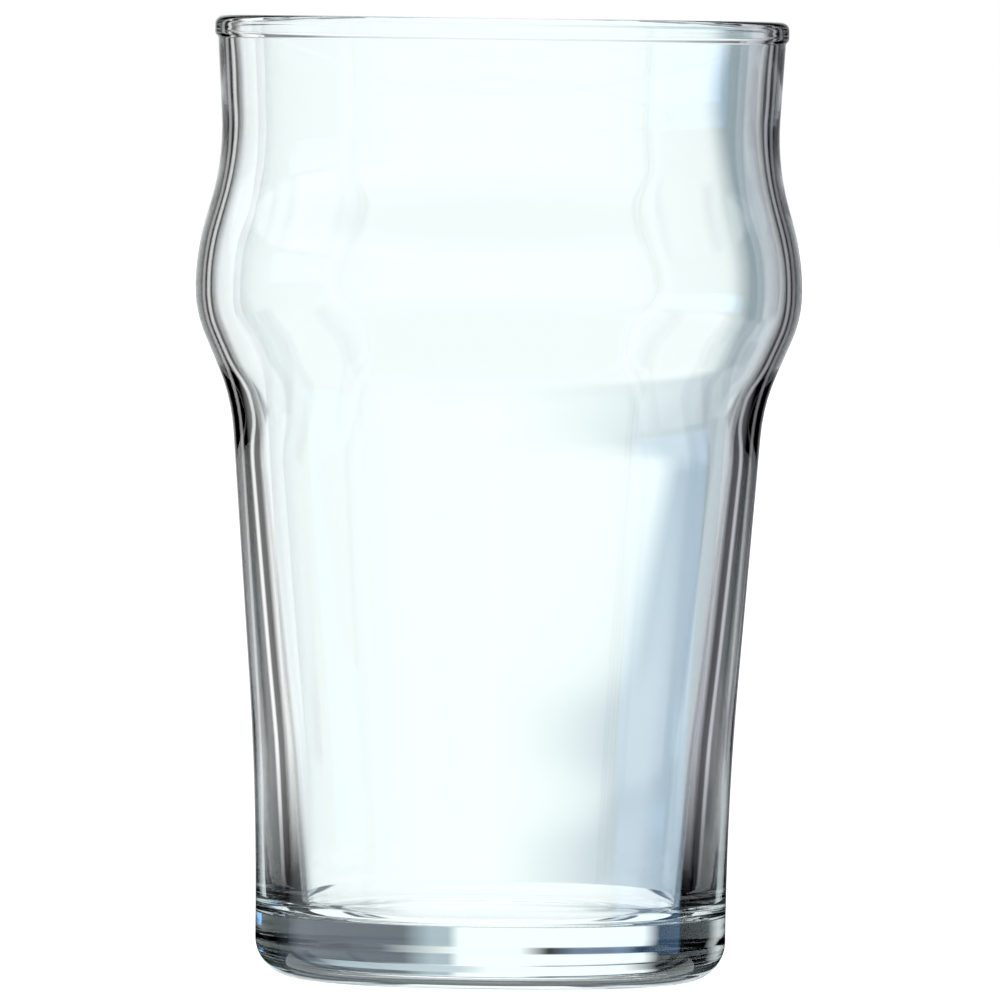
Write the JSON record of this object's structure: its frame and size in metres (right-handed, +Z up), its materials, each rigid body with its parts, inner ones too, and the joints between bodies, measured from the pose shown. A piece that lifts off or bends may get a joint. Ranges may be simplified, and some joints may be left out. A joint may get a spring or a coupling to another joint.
{
  "type": "pint glass",
  "caption": "Clear pint glass: tapered tumbler with a stacking bulge under a round rim and a thick heavy base.",
  "frame": {"origin": "centre of the flat ring that the glass rests on", "axes": "+Z up along the glass's axis, from the base to the rim; the body is round, so X and Y are alike"},
  "size_m": [0.0922, 0.0922, 0.146],
  "materials": {
    "clear_glass": "clear colourless soda-lime glass, fire polished, faint cool tint in the thick base"
  },
  "bodies": {
    "root": {"tumbler": "clear_glass"}
  },
  "joints": []
}
